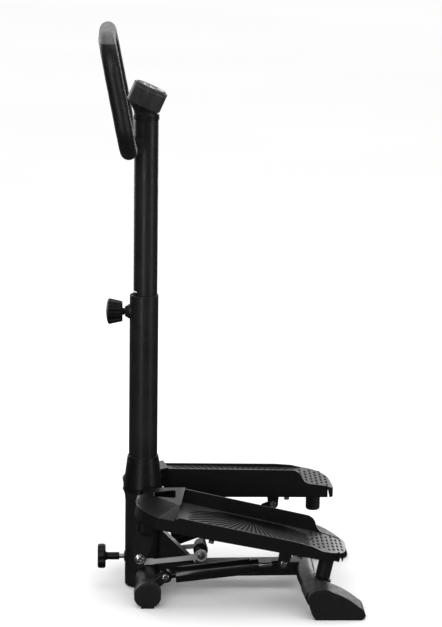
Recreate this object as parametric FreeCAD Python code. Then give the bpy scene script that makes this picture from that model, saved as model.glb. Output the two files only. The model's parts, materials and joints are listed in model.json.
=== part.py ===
"""Mini stepper with an upright handle post.

Millimetres, +Z up. While it is being drawn, X is measured from the post's axis towards the rear, Y from the
centre plane (the user's right is +Y) and Z from the floor; save() then moves every piece so that the part's
origin lies on the floor, midway between the front knob and the rear feet.

The pedals share one lateral hinge line beside the post. Each is drawn raised and level; the left one is
turned down to its stop, so that the model rests with the left pedal down and the right pedal up.
"""
import FreeCAD, Part
import math
import os

os.makedirs("parts", exist_ok=True)

V = FreeCAD.Vector
X_AXIS = V(1, 0, 0)
Y_AXIS = V(0, 1, 0)
Z_AXIS = V(0, 0, 1)

# ---- driving dimensions ----------------------------------------------------------------------------
ORIGIN_X = 180.5        # post axis to the part's origin
FIT = 0.05              # radial clearance of a running fit
GAP = 0.3               # clearance between bodies that pass each other

POST_R = 38.0           # base post
POST_WALL = 2.5
POST_BOTTOM = 5.0
POST_TOP = 214.0
OUTER_R = 30.0          # lower mast tube
OUTER_WALL = 1.8
OUTER_TOP = 628.0
COLLAR_TOP = 286.0
INNER_R = 25.0          # sliding mast tube
INNER_WALL = 1.6
INNER_BOTTOM = 380.0
INNER_TOP = 996.0
MAST_X = 1.5            # the two mast tubes stand this far behind the post's axis

HINGE_X = -7.0          # pedal hinge line
HINGE_Z = 72.0
SWING_DEG = 11.8        # from raised to resting on the stop
ARM_IN = 41.5           # pedal arm, distances from the centre plane
ARM_OUT = 51.5
EYE_R = 13.0
PIVOT_R = 6.0

TREAD_IN = 48.0         # footplate edges, distances from the centre plane
TREAD_OUT = 184.0
TREAD_REAR = 408.0
TREAD_FRONT = 54.0      # where the tread meets the toe box
TREAD_Z = 212.0
WALL = 4.0
WALL_TOP = 240.0        # raised inner wall
PAN_BOTTOM = 178.0      # steel pan under the tread
PAN_TOP = 194.0
PAN_STEEL = 3.0
PAN_IN = 54.0
PAN_OUT = 140.0
PAN_REAR = 393.0

DAMPER_Y = 116.0        # plane of the damper, its bracket and the bumper
DAMPER_BOTTOM = (46.3, 56.0)
DAMPER_TOP = (283.0, 145.5)
DAMPER_R = 12.75
DAMPER_PIN_R = 5.0
ROD_R = 4.75
ROD_PIN_PLAY = 0.5      # the linkage's free pivot
BUMPER_X = 370.0
BUMPER_R = 15.5
BUMPER_BOTTOM = 132.5

FRONT_TUBE_X = 9.0      # front stabilizer
FRONT_TUBE_Z = 28.0
FRONT_TUBE_R = 25.0
FRONT_HALF = 165.0
CAP_R = 27.5
REAR_TUBE_X = 345.0     # rear stabilizer, middle and tip
REAR_TIP_X = 357.0
REAR_TUBE_Z = 38.0
REAR_TUBE_R = 20.0
REAR_HALF = 235.0
TUBE_WALL = 2.0
BEAM_HALF = 20.0
BEAM_FRONT = (20.0, 50.0)
BEAM_REAR = (25.0, 55.0)

WHEEL_X = 123.0         # rope guide wheels
WHEEL_Z = 75.5
WHEEL_R = 15.5
WHEEL_OUT = 11.0        # outer face, distance from the centre plane
PIN_R = 4.0
ROPE_R = 2.0
ROPE_LINE_R = 13.5      # rope centre line round a wheel
ROPE_Y = 6.0
ROPE_LUG = (105.0, 166.0)   # on a raised pedal
SCREW_Z = WHEEL_Z - ROPE_LINE_R
SCREW_R = 5.0
YOKE_X = 76.0           # axis of the tension pulley
YOKE_R = 8.0
PULLEY_PIN_R = 2.5
YOKE_FRONT = POST_R + 0.5
YOKE_TRAVEL = 7.5       # backwards, as the screw is slackened
SCREW_TIP = YOKE_FRONT + YOKE_TRAVEL + 5.5
ROPE_LEAVE_DEG = 16.0   # the rope leaves a guide wheel this far above its rearmost point

TENSION_KNOB_X = -96.0  # front face of the tension knob
KNOB_X = -80.0          # front face of the height knob on the lower mast tube
KNOB_Z = 594.5
SPINDLE_R = 5.0

HANDLE_LEAN = 11.2      # degrees, top towards the front
HANDLE_HALF = 160.0
HANDLE_BOTTOM = (-34.6, 944.5)
HANDLE_RISE = 229.2     # along the slope, between the axes of the lower and upper bars
HANDLE_CORNER = 62.0
HANDLE_TUBE_R = 11.0
HANDLE_WALL = 1.6
GRIP_R = 17.5
GRIP_GAP_HALF = 34.0    # bare tube at the clamp
GREY_FROM_Z = 1164.0

CONSOLE_TILT = 24.0
CONSOLE_R = 36.7
CONSOLE_BASE = (-6.1, 1024.5)
CONSOLE_HEIGHT = 41.0


# ---- helpers ---------------------------------------------------------------------------------------
def save(name, *shapes):
    """Write one node: its solids as they are, moved to the part's origin."""
    solids = [solid for shape in shapes for solid in shape.Solids]
    node = solids[0].copy() if len(solids) == 1 else Part.makeCompound(solids)
    node.translate(V(-ORIGIN_X, 0, 0))
    box = node.BoundBox
    print(f"{name:22s} solids {len(solids):2d}  valid {node.isValid()}  volume {node.Volume / 1000:9.2f} cm3"
          f"  x {box.XMin:7.1f} {box.XMax:7.1f}  y {box.YMin:7.1f} {box.YMax:7.1f}"
          f"  z {box.ZMin:7.1f} {box.ZMax:7.1f}")
    node.exportStep(f"parts/{name}.step")


def block(x0, x1, y0, y1, z0, z1):
    return Part.makeBox(x1 - x0, y1 - y0, z1 - z0, V(x0, y0, z0))


def rod(start, direction, radius, length):
    return Part.makeCylinder(radius, length, V(*start), direction)


def ring(start, direction, outer, inner, length):
    return rod(start, direction, outer, length).cut(rod(start, direction, inner, length))


def plate_xz(points, y0, y1):
    """Extrude a closed outline of (x, z) points from y0 to y1."""
    corners = [V(x, y0, z) for x, z in points]
    face = Part.Face(Part.makePolygon(corners + corners[:1]))
    return face.extrude(V(0, y1 - y0, 0))


def wire(pieces, place):
    """Wire of lines (two points) and arcs (three points); place(u, v) gives each point in space."""
    edges = []
    for piece in pieces:
        points = [place(u, v) for u, v in piece]
        curve = Part.LineSegment(*points) if len(points) == 2 else Part.Arc(*points)
        edges.append(curve.toShape())
    return Part.Wire(edges)


def chords(pieces):
    """The same outline with each arc replaced by two straight lines."""
    return [pair for piece in pieces for pair in zip(piece, piece[1:])]


def curve_xz(pieces, y):
    return wire(pieces, lambda x, z: V(x, y, z))


def curve_xy(pieces, z):
    return wire(pieces, lambda x, y: V(x, y, z))


def revolve(profile, origin, axis):
    """Turn a closed (radius, height) outline round an axis through origin."""
    points = [V(r, 0, h) for r, h in profile]
    solid = Part.Face(Part.makePolygon(points + points[:1])).revolve(V(0, 0, 0), Z_AXIS, 360)
    solid.Placement = FreeCAD.Placement(V(*origin), FreeCAD.Rotation(Z_AXIS, axis))
    return solid


def rounded(shape, radius, wanted):
    """Round the edges for which wanted(edge) is true."""
    edges = [edge for edge in shape.Edges if wanted(edge)]
    return shape.makeFillet(radius, edges)


def circle_at(edge, z):
    """True for a whole circular edge in the plane Z = z."""
    box = edge.BoundBox
    return abs(box.ZMin - z) < 0.01 and abs(box.ZMax - z) < 0.01


def both_sides(shape):
    """The shape and its mirror image in the centre plane."""
    return [shape, mirrored(shape)]


def mirrored(shape):
    return shape.mirror(V(0, 0, 0), Y_AXIS)


def lowered(shape):
    """Turn a pedal piece from raised to resting on its stop."""
    turned = shape.copy()
    turned.rotate(V(HINGE_X, 0, HINGE_Z), Y_AXIS, SWING_DEG)
    return turned


def lowered_point(x, z):
    angle = math.radians(SWING_DEG)
    dx, dz = x - HINGE_X, z - HINGE_Z
    return (HINGE_X + dx * math.cos(angle) + dz * math.sin(angle),
            HINGE_Z + dz * math.cos(angle) - dx * math.sin(angle))


# ---- base: post and stabilizers ----------------------------------------------------------------------
def post_solid():
    return rod((0, 0, 0), Z_AXIS, POST_R, POST_TOP)


def base_post():
    """Round steel post with a boss each side for the pedal pivots and one in front for the screw."""
    post = ring((0, 0, POST_BOTTOM), Z_AXIS, POST_R, POST_R - POST_WALL, POST_TOP - POST_BOTTOM)
    boss_start = POST_R - POST_WALL - 2
    boss = rod((HINGE_X, boss_start, HINGE_Z), Y_AXIS, 12, ARM_IN - GAP - boss_start)
    for piece in both_sides(boss):
        post = post.fuse(piece)
    nut = rod((-POST_R - 2, 0, SCREW_Z), X_AXIS, 10, 7)
    post = post.fuse(nut).fuse(post_sleeve())
    post = post.cut(rod((-POST_R - 6, 0, SCREW_Z), X_AXIS, SCREW_R + FIT, 2 * POST_R + 12))
    through = rod((HINGE_X, -60, HINGE_Z), Y_AXIS, PIVOT_R, 120)
    return post.cut(through).removeSplitter()


def base_plug():
    """Plastic plug that closes the post's lower end."""
    plug = rod((0, 0, 2), Z_AXIS, POST_R, POST_BOTTOM - 2)
    plug = rounded(plug, 2, lambda edge: circle_at(edge, 2))
    return plug.fuse(ring((0, 0, POST_BOTTOM), Z_AXIS, POST_R - POST_WALL - 0.1, POST_R - POST_WALL - 3, 14))


def front_stabilizer():
    """Two stubs of round tube welded to the post's sides."""
    length = FRONT_HALF - 15
    stub = ring((FRONT_TUBE_X, 0, FRONT_TUBE_Z), Y_AXIS, FRONT_TUBE_R, FRONT_TUBE_R - TUBE_WALL, length)
    return both_sides(stub.cut(post_solid()))


def front_caps():
    """Rubber end caps with a collar lip, a flat sole and gripping ribs along the lower half."""
    sleeve_start = FRONT_HALF - 27
    start = (FRONT_TUBE_X, sleeve_start, FRONT_TUBE_Z)
    cap = ring(start, Y_AXIS, CAP_R, FRONT_TUBE_R, 12)
    lip = ring(start, Y_AXIS, CAP_R + 0.8, FRONT_TUBE_R, 4)
    lip = lip.cut(block(-50, 80, 0, 300, -10, FRONT_TUBE_Z - CAP_R))
    end = rod((FRONT_TUBE_X, FRONT_HALF - 15, FRONT_TUBE_Z), Y_AXIS, CAP_R, 15)
    end = end.makeFillet(3, [edge for edge in end.Edges if abs(edge.BoundBox.YMin - FRONT_HALF) < 0.01])
    cap = cap.fuse(lip).fuse(end)
    for degrees in (-74, -66, -58, -50, -42, 42, 50, 58, 66, 74):
        rib = block(-1.1, 1.1, sleeve_start + 5, FRONT_HALF - 2, -CAP_R - 1.2, -CAP_R + 2)
        rib.rotate(V(0, 0, 0), Y_AXIS, degrees)
        rib.translate(V(FRONT_TUBE_X, 0, FRONT_TUBE_Z))
        cap = cap.fuse(rib)
    sole = block(FRONT_TUBE_X - 13, FRONT_TUBE_X + 13, sleeve_start + 5, FRONT_HALF - 2, 0, 8)
    sole = sole.cut(rod((FRONT_TUBE_X, 0, FRONT_TUBE_Z), Y_AXIS, FRONT_TUBE_R, FRONT_HALF))
    return both_sides(cap.fuse(sole).removeSplitter())


def damper_brackets():
    """Two pairs of steel ears, welded to the front stabilizer, that hold the dampers' lower pins."""
    pin_x, pin_z = DAMPER_BOTTOM
    angle = math.degrees(math.atan2(pin_z - FRONT_TUBE_Z, pin_x - FRONT_TUBE_X))
    ears = []
    for y in (DAMPER_Y - 11.5, DAMPER_Y + 7.5):
        ear = block(-40, 0, y, y + 4, -9, 9).fuse(rod((0, y, 0), Y_AXIS, 9, 4))
        ear = ear.cut(rod((0, y, 0), Y_AXIS, DAMPER_PIN_R, 4)).removeSplitter()
        ear.rotate(V(0, 0, 0), Y_AXIS, -angle)
        ear.translate(V(pin_x, 0, pin_z))
        ears.append(ear.cut(rod((FRONT_TUBE_X, 0, FRONT_TUBE_Z), Y_AXIS, FRONT_TUBE_R, 200)))
    return [side for ear in ears for side in both_sides(ear)]


def pin_with_head(x, z, y_inner, y_outer, radius, head_r):
    """Lateral pin: thin nut at its inner end and domed head at its outer end."""
    pin = rod((x, y_inner, z), Y_AXIS, radius, y_outer - y_inner)
    nut = rod((x, y_inner - 4, z), Y_AXIS, head_r * 0.95, 4)
    head = rod((x, y_outer, z), Y_AXIS, head_r, 4)
    head = head.makeFillet(2.2, [edge for edge in head.Edges if abs(edge.BoundBox.YMin - y_outer - 4) < 0.01])
    return pin.fuse(nut).fuse(head).removeSplitter()


def damper_pins():
    x, z = DAMPER_BOTTOM
    return both_sides(pin_with_head(x, z, DAMPER_Y - 11.5, DAMPER_Y + 11.5, DAMPER_PIN_R, 7.5))


def pivot_bolts():
    """Shoulder bolts of the pedal hinge, each with a washer and a domed head."""
    bolt = rod((HINGE_X, 26, HINGE_Z), Y_AXIS, PIVOT_R, ARM_OUT + GAP - 26)
    bolt = bolt.fuse(rod((HINGE_X, ARM_OUT + GAP, HINGE_Z), Y_AXIS, 11, 1.5))
    head = rod((HINGE_X, ARM_OUT + GAP + 1.5, HINGE_Z), Y_AXIS, 8.5, 5.5)
    outer = ARM_OUT + GAP + 7
    head = head.makeFillet(3, [edge for edge in head.Edges if abs(edge.BoundBox.YMin - outer) < 0.01])
    return both_sides(bolt.fuse(head).removeSplitter())


def rear_path():
    """Centre line of the rear stabilizer: straight in the middle, swept slightly back at both ends."""
    bend_y, bend_r = 60.0, 260.0
    sweep = math.atan2(REAR_TIP_X - REAR_TUBE_X, REAR_HALF - 10 - bend_y)
    reach = bend_r * math.tan(sweep / 2)
    tip_y = REAR_HALF - 10

    def half(sign):
        start = V(REAR_TUBE_X, sign * (bend_y - reach), REAR_TUBE_Z)
        middle = V(REAR_TUBE_X + bend_r * (1 - math.cos(sweep / 2)),
                   sign * (bend_y - reach + bend_r * math.sin(sweep / 2)), REAR_TUBE_Z)
        end = V(REAR_TUBE_X + reach * math.sin(sweep),
                sign * (bend_y + reach * math.cos(sweep)), REAR_TUBE_Z)
        tip = V(REAR_TIP_X, sign * tip_y, REAR_TUBE_Z)
        return start, middle, end, tip

    left, right = half(-1), half(1)
    edges = [Part.LineSegment(left[3], left[2]).toShape(),
             Part.Arc(left[2], left[1], left[0]).toShape(),
             Part.LineSegment(left[0], right[0]).toShape(),
             Part.Arc(right[0], right[1], right[2]).toShape(),
             Part.LineSegment(right[2], right[3]).toShape()]
    return Part.Wire(edges), (left[3] - left[2])


def rear_pipe(radius):
    path, direction = rear_path()
    start = path.OrderedVertexes[0].Point
    circle = Part.Wire([Part.Circle(start, direction, radius).toShape()])
    return path.makePipeShell([circle], True, False)


def rear_stabilizer():
    """Bent round tube with the bumpers' rests welded on."""
    tube = rear_pipe(REAR_TUBE_R).cut(rear_pipe(REAR_TUBE_R - TUBE_WALL))
    for rest in bump_stops():
        tube = tube.fuse(rest)
    return tube


def rear_feet():
    """Wedge-shaped rubber shoes with a sleeve that grips the tube."""
    inner = REAR_HALF - 60
    outline = curve_xz([[(352, 0), (443, 0)],
                        [(443, 0), (451.5, 3), (454.5, 10)],
                        [(454.5, 10), (452, 18), (442.5, 27)],
                        [(442.5, 27), (417, 45.5), (386, 60)],
                        [(386, 60), (373, 65), (359, 64.2)],
                        [(359, 64.2), (344, 58.5), (337, 43)],
                        [(337, 43), (342, 19), (352, 0)]], inner)
    shoe = Part.Face(outline).extrude(V(0, REAR_HALF - inner, 0))
    lean = math.atan2(REAR_TIP_X - REAR_TUBE_X, REAR_HALF - 70)
    sleeve_axis = V(math.sin(lean), math.cos(lean), 0)
    sleeve_from = V(REAR_TIP_X, REAR_HALF - 10, REAR_TUBE_Z) - sleeve_axis * 90
    sleeve = Part.makeCylinder(REAR_TUBE_R + 2, 70, sleeve_from, sleeve_axis)
    foot = shoe.fuse(sleeve)
    return both_sides(foot.cut(rear_pipe(REAR_TUBE_R)).removeSplitter())


def beam_solid(inset):
    outline = [(0, BEAM_FRONT[0] + inset), (REAR_TUBE_X, BEAM_REAR[0] + inset),
               (REAR_TUBE_X, BEAM_REAR[1] - inset), (0, BEAM_FRONT[1] - inset)]
    return plate_xz(outline, -BEAM_HALF + inset, BEAM_HALF - inset)


def centre_beam():
    """Rectangular tube from the post to the rear stabilizer, rising slightly."""
    beam = beam_solid(0)
    long_edges = [edge for edge in beam.Edges if edge.Length > 300]
    beam = beam.makeFillet(3, long_edges).cut(beam_solid(2))
    front_tube = rod((FRONT_TUBE_X, -BEAM_HALF, FRONT_TUBE_Z), Y_AXIS, FRONT_TUBE_R, 2 * BEAM_HALF)
    return beam.cut(post_solid()).cut(front_tube).cut(rear_pipe(REAR_TUBE_R))


def gusset():
    """Folded brace over the front of the beam, with a window for the rope."""
    def wedge(inset):
        return [(30, BEAM_FRONT[1] - 5), (118 - inset, BEAM_FRONT[1] - 5), (30, 133 - inset)]

    def channel(half, inset):
        return plate_xz(wedge(inset), -half, half)

    brace = channel(15, 0).cut(channel(12.5, 3.6))
    brace = brace.cut(post_solid()).cut(beam_solid(0))
    window = block(60, 130, -11, 11, SCREW_Z - 7, SCREW_Z + 6)
    return brace.cut(window)


def bump_stops():
    """Tilted steel rests on the rear stabilizer for the pedals' bumpers."""
    x, z = lowered_point(BUMPER_X, BUMPER_BOTTOM)
    rest = block(-19, 17, DAMPER_Y - 16, DAMPER_Y + 16, -4.2, -0.2)
    rest = rest.fuse(block(-19, -15, DAMPER_Y - 16, DAMPER_Y + 16, -16, -4.2))
    rest = rest.fuse(block(-15, 6, DAMPER_Y - 2, DAMPER_Y + 2, -16, -4.2)).removeSplitter()
    rest.rotate(V(0, 0, 0), Y_AXIS, SWING_DEG)
    rest.translate(V(x, 0, z))
    return both_sides(rest.cut(rear_pipe(REAR_TUBE_R)))


# ---- rope guide and tension gear ---------------------------------------------------------------------
def pulley_stays():
    """Two flat bars from the post's sides to a rounded cheek round the guide wheels' axle."""
    inner, outer = POST_R - 0.8, POST_R + 2.2
    bar = plate_xz([(2, 55), (18, 55.5), (26, 57), (WHEEL_X, WHEEL_Z - 8), (WHEEL_X, WHEEL_Z + 2),
                    (26, 67.5), (18, 69), (6, 69)], inner, outer)
    cheek = rod((WHEEL_X, inner, WHEEL_Z), Y_AXIS, 13, outer - inner)
    stay = bar.fuse(cheek).cut(rod((WHEEL_X, 0, WHEEL_Z), Y_AXIS, PIN_R, 60))
    boss = rod((HINGE_X, 0, HINGE_Z), Y_AXIS, 13, 60)
    return both_sides(stay.cut(post_solid()).cut(boss).removeSplitter())


def pulley_axle():
    """Axle of the guide wheels with spacer tubes and end nuts."""
    cheek_in, cheek_out = POST_R - 0.8, POST_R + 2.2
    axle = rod((WHEEL_X, -cheek_out, WHEEL_Z), Y_AXIS, PIN_R, 2 * cheek_out)
    spacer_in = WHEEL_OUT + GAP
    for side in both_sides(rod((WHEEL_X, cheek_out, WHEEL_Z), Y_AXIS, 6.5, 4.5)):
        axle = axle.fuse(side)
    for side in both_sides(rod((WHEEL_X, spacer_in, WHEEL_Z), Y_AXIS, 6, cheek_in - spacer_in)):
        axle = axle.fuse(side)
    return axle.removeSplitter()


def guide_wheel():
    """Rope wheel on the +Y side: flange inside, bare hub outside where the rope leaves sideways."""
    groove_in = ROPE_Y - ROPE_R - GAP
    bore = PIN_R + FIT
    flange = ring((WHEEL_X, GAP, WHEEL_Z), Y_AXIS, WHEEL_R, bore, groove_in - GAP)
    hub = ring((WHEEL_X, groove_in, WHEEL_Z), Y_AXIS, ROPE_LINE_R - ROPE_R - GAP, bore, WHEEL_OUT - groove_in)
    return flange.fuse(hub).removeSplitter()


def tension_yoke():
    """Block on the screw's end that holds the small pulley; at rest the screw has drawn it tight."""
    block_rear = YOKE_X - ROPE_Y - ROPE_R - YOKE_TRAVEL - 1
    yoke = block(YOKE_FRONT, block_rear, -8, 8, SCREW_Z - 7, SCREW_Z + 7)
    for low in (-7, 5):
        yoke = yoke.fuse(block(block_rear, YOKE_X + 5, -6, 6, SCREW_Z + low, SCREW_Z + low + 2))
    yoke = yoke.fuse(rod((YOKE_X, 0, SCREW_Z - 7), Z_AXIS, PULLEY_PIN_R, 14))
    bore = rod((YOKE_FRONT - 1, 0, SCREW_Z), X_AXIS, SCREW_R + FIT, SCREW_TIP - YOKE_FRONT + 2)
    return yoke.cut(bore).removeSplitter()


def tension_pulley():
    """Small pulley with a round groove for the rope."""
    pulley = ring((0, 0, -4), Z_AXIS, YOKE_R, PULLEY_PIN_R + FIT, 8)
    groove_half = ROPE_R + GAP
    pulley = pulley.cut(Part.makeTorus(ROPE_Y, groove_half))
    pulley = pulley.cut(ring((0, 0, -groove_half), Z_AXIS, YOKE_R + 1, ROPE_Y, 2 * groove_half))
    pulley.translate(V(YOKE_X, 0, SCREW_Z))
    return pulley


def tension_screw():
    """Screw from inside the front knob, through the post, to the yoke."""
    return rod((TENSION_KNOB_X + 24, 0, SCREW_Z), X_AXIS, SCREW_R, SCREW_TIP - TENSION_KNOB_X - 24)


def scallops(lobes, radius, depth, bite, cut_r, taper=0.0):
    """Finger grooves round a knob on the Z axis; taper leans them inwards towards the rear."""
    direction = V(-taper, 0, 1)
    grooves = []
    for index in range(lobes):
        groove = rod((radius + cut_r - bite + taper, 0, -1), direction, cut_r, depth + 2)
        groove.rotate(V(0, 0, 0), Z_AXIS, 360 * (index + 0.5) / lobes)
        grooves.append(groove)
    return grooves


def tension_knob():
    """Front knob with a long stem, pressed on the tension screw."""
    radius, depth, stem_r, length = 26, 17, 8, 46
    disc = [(0, 0), (radius - 4, 0), (radius - 1, 1.2), (radius, 4),
            (radius, depth - 4), (radius - 1, depth - 1.2), (radius - 4, depth)]
    stem = [(stem_r + 1.5, depth), (stem_r, depth + 4), (stem_r, length), (0, length)]
    knob = revolve(disc + stem, (0, 0, 0), Z_AXIS)
    for groove in scallops(6, radius, depth, 3, 10):
        knob = knob.cut(groove)
    knob = knob.cut(rod((0, 0, 24), Z_AXIS, SCREW_R, length))
    knob.Placement = FreeCAD.Placement(V(TENSION_KNOB_X, 0, SCREW_Z), FreeCAD.Rotation(Z_AXIS, X_AXIS))
    return knob


# ---- mast --------------------------------------------------------------------------------------------
def outer_tube():
    """Lower mast tube with the height knob's boss welded on."""
    tube = ring((MAST_X - 2.5, 0, POST_TOP - 60), Z_AXIS, OUTER_R, OUTER_R - OUTER_WALL,
                OUTER_TOP - POST_TOP + 60)
    return tube.fuse(knob_boss()).cut(rod((-60, 0, KNOB_Z), X_AXIS, SPINDLE_R + FIT, 50)).removeSplitter()


def post_collar():
    """Flared plastic collar that closes the step between the post and the lower mast tube."""
    bottom_r = POST_R + 3
    profile = [(OUTER_R, POST_TOP), (bottom_r, POST_TOP),
               (bottom_r, POST_TOP + 6), (bottom_r - 1, POST_TOP + 14),
               (OUTER_R + 2.6, COLLAR_TOP - 2), (OUTER_R + 1.4, COLLAR_TOP), (OUTER_R, COLLAR_TOP)]
    collar = revolve(profile, (MAST_X - 2.5, 0, 0), Z_AXIS)
    skirt = ring((0, 0, POST_TOP - 5), Z_AXIS, bottom_r, POST_R, 5)
    return collar.fuse(skirt).removeSplitter()


def post_sleeve():
    """Steel sleeve, welded into the post's mouth, that centres the lower mast tube."""
    hole = rod((MAST_X - 2.5, 0, POST_TOP - 60), Z_AXIS, OUTER_R, 60)
    return rod((0, 0, POST_TOP - 60), Z_AXIS, POST_R - POST_WALL, 60).cut(hole)


def collar_screws():
    """Chrome screws at the front and rear of the collar's skirt."""
    x = POST_R + 3
    head = rod((x - 0.5, 0, POST_TOP - 2.2), X_AXIS, 4, 3.2)
    head = head.makeFillet(1.4, [edge for edge in head.Edges if abs(edge.BoundBox.XMin - x - 2.7) < 0.01])
    collar = post_collar()
    return [head.cut(collar), head.mirror(V(0, 0, 0), X_AXIS).cut(collar)]


def tube_bushing():
    """Plastic liner in the mouth of the lower mast tube that guides the sliding tube."""
    x = MAST_X - 2.5
    liner = rod((x, 0, OUTER_TOP - 70), Z_AXIS, OUTER_R - OUTER_WALL, 70)
    liner = liner.cut(rod((MAST_X, 0, OUTER_TOP - 80), Z_AXIS, INNER_R + FIT, 90))
    return liner.cut(rod((-60, 0, KNOB_Z), X_AXIS, 6, 50))


def knob_boss():
    """Conical threaded boss for the clamping screw."""
    bore = SPINDLE_R + FIT
    boss = revolve([(bore, 0), (15.5, 0), (15.5, 5), (10, 14), (bore, 14)], (-27, 0, KNOB_Z), V(-1, 0, 0))
    return boss.cut(rod((MAST_X - 2.5, 0, KNOB_Z - 30), Z_AXIS, OUTER_R, 60))


def height_spindle():
    """Clamping screw of the height knob; its tip stops just short of the sliding tube."""
    tip = MAST_X - INNER_R - 0.5
    start = KNOB_X + 14
    return rod((start, 0, KNOB_Z), X_AXIS, SPINDLE_R, tip - start)


def height_knob():
    """Knob with a domed front, widest just behind it, that tapers to its short neck."""
    neck_r, neck_end = 7.5, 38.7
    dome = [(0, 0), (10, 0.6), (19, 2), (25, 4.2), (27, 7)]
    taper = [(26.6, 9), (21.4, 33), (20, 34.4)]
    knob = revolve(dome + taper + [(neck_r, 34.4), (neck_r, neck_end), (0, neck_end)], (0, 0, 0), Z_AXIS)
    for groove in scallops(9, 27, 32, 1.8, 5, 0.19):
        knob = knob.cut(groove)
    knob = knob.cut(rod((0, 0, 14), Z_AXIS, SPINDLE_R, 30))
    knob.Placement = FreeCAD.Placement(V(KNOB_X, 0, KNOB_Z), FreeCAD.Rotation(Z_AXIS, X_AXIS))
    return knob.removeSplitter()


def inner_tube():
    return ring((MAST_X, 0, INNER_BOTTOM), Z_AXIS, INNER_R, INNER_R - INNER_WALL, INNER_TOP - INNER_BOTTOM)


# ---- handlebar ---------------------------------------------------------------------------------------
def lean_over(shape):
    """Place a shape drawn in the plane X = 0, with its lower bar on the Y axis, on the leaning loop."""
    leaned = shape.copy()
    leaned.rotate(V(0, 0, 0), Y_AXIS, -HANDLE_LEAN)
    leaned.translate(V(HANDLE_BOTTOM[0], 0, HANDLE_BOTTOM[1]))
    return leaned


def loop_path(gap_half):
    """Rounded rectangle in the plane X = 0, open round the middle of the lower bar."""
    half, rise, corner = HANDLE_HALF, HANDLE_RISE, HANDLE_CORNER
    k = corner * (1 - math.sqrt(0.5))
    right = [[(gap_half, 0), (half - corner, 0)],
             [(half - corner, 0), (half - k, k), (half, corner)],
             [(half, corner), (half, rise - corner)],
             [(half, rise - corner), (half - k, rise - k), (half - corner, rise)]]
    top = [[(half - corner, rise), (corner - half, rise)]]
    left = [[(-y, z) for y, z in reversed(piece)] for piece in reversed(right)]
    return wire(right + top + left, lambda y, z: V(0, y, z))


def loop_pipe(radius, gap_half):
    path = loop_path(gap_half)
    circle = Part.Wire([Part.Circle(V(0, gap_half, 0), Y_AXIS, radius).toShape()])
    return path.makePipeShell([circle], True, False)


def handlebar_tube():
    """Closed loop of steel tube: the swept loop and the short straight tube at the clamp."""
    bore = HANDLE_TUBE_R - HANDLE_WALL
    loop = loop_pipe(HANDLE_TUBE_R, GRIP_GAP_HALF).cut(loop_pipe(bore, GRIP_GAP_HALF))
    closing = ring((0, -GRIP_GAP_HALF, 0), Y_AXIS, HANDLE_TUBE_R, bore, 2 * GRIP_GAP_HALF)
    return lean_over(loop.fuse(closing).removeSplitter())


def grip_solid():
    return lean_over(loop_pipe(GRIP_R, GRIP_GAP_HALF).cut(loop_pipe(HANDLE_TUBE_R, GRIP_GAP_HALF)))


def grey_zone():
    """All above one height, and the whole of the upper bar between the corners."""
    bar_half = HANDLE_HALF - HANDLE_CORNER
    corners = block(-300, 300, -300, 300, GREY_FROM_Z, GREY_FROM_Z + 200)
    return corners.fuse(block(-300, 300, -bar_half, bar_half, GREY_FROM_Z - 60, GREY_FROM_Z + 200))


def handle_saddle():
    """Steel cradle welded to the front of the sliding tube; the handlebar lies in it."""
    x, z = HANDLE_BOTTOM
    saddle = block(x - 8, 0, -24, 24, z - 17, z - 2).fuse(block(x - 2, 0, -24, 24, z - 17, z + 16))
    saddle = saddle.cut(rod((x, -40, z), Y_AXIS, HANDLE_TUBE_R, 80))
    return saddle.cut(rod((MAST_X, 0, z - 40), Z_AXIS, INNER_R, 90))


def handle_bolts():
    """Bolt heads under the cradle."""
    x, z = HANDLE_BOTTOM
    heads = []
    for y in (-14, 14):
        for dx in (-2, 9):
            head = rod((x + dx, y, z - 22), Z_AXIS, 4, 5)
            heads.append(head)
    return heads


# ---- console -----------------------------------------------------------------------------------------
def console_place(shape):
    """Tilt a shape drawn on the Z axis towards the user and set it on the neck."""
    tilted = shape.copy()
    tilted.rotate(V(0, 0, 0), Y_AXIS, CONSOLE_TILT)
    tilted.translate(V(CONSOLE_BASE[0], 0, CONSOLE_BASE[1]))
    return tilted


def console_housing():
    """Round shell with its hollow for the works."""
    shell = rod((0, 0, 0), Z_AXIS, CONSOLE_R, CONSOLE_HEIGHT)
    shell = rounded(shell, 3, lambda edge: circle_at(edge, 0))
    shell = rounded(shell, 1.2, lambda edge: circle_at(edge, CONSOLE_HEIGHT))
    hollow = rod((0, 0, 3), Z_AXIS, CONSOLE_R - 3, CONSOLE_HEIGHT)
    return console_place(shell.cut(hollow))


def console_bezel():
    """Lid with a window for the display and a hole for the button."""
    lid = rod((0, 0, CONSOLE_HEIGHT - 5), Z_AXIS, CONSOLE_R - 3, 5)
    raised = rod((0, 0, CONSOLE_HEIGHT), Z_AXIS, CONSOLE_R - 4.5, 1.6)
    raised = rounded(raised, 1.0, lambda edge: circle_at(edge, CONSOLE_HEIGHT + 1.6))
    window = block(-19, 7, -20, 20, CONSOLE_HEIGHT - 6, CONSOLE_HEIGHT + 5)
    button = rod((19, 0, CONSOLE_HEIGHT - 6), Z_AXIS, 7.5, 12)
    return console_place(lid.fuse(raised).removeSplitter().cut(window).cut(button))


def console_display():
    """Clear window over the display glass."""
    return console_place(block(-19, 7, -20, 20, CONSOLE_HEIGHT - 4, CONSOLE_HEIGHT + 0.9))


def console_works():
    """Circuit block with the battery, sealed in the housing."""
    return console_place(block(-22, 22, -20, 20, 4, 28))


def console_button():
    cap = rod((19, 0, CONSOLE_HEIGHT - 3), Z_AXIS, 7.5 - GAP, 7)
    cap = rounded(cap, 1.2, lambda edge: circle_at(edge, CONSOLE_HEIGHT + 4))
    return console_place(cap)


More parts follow.
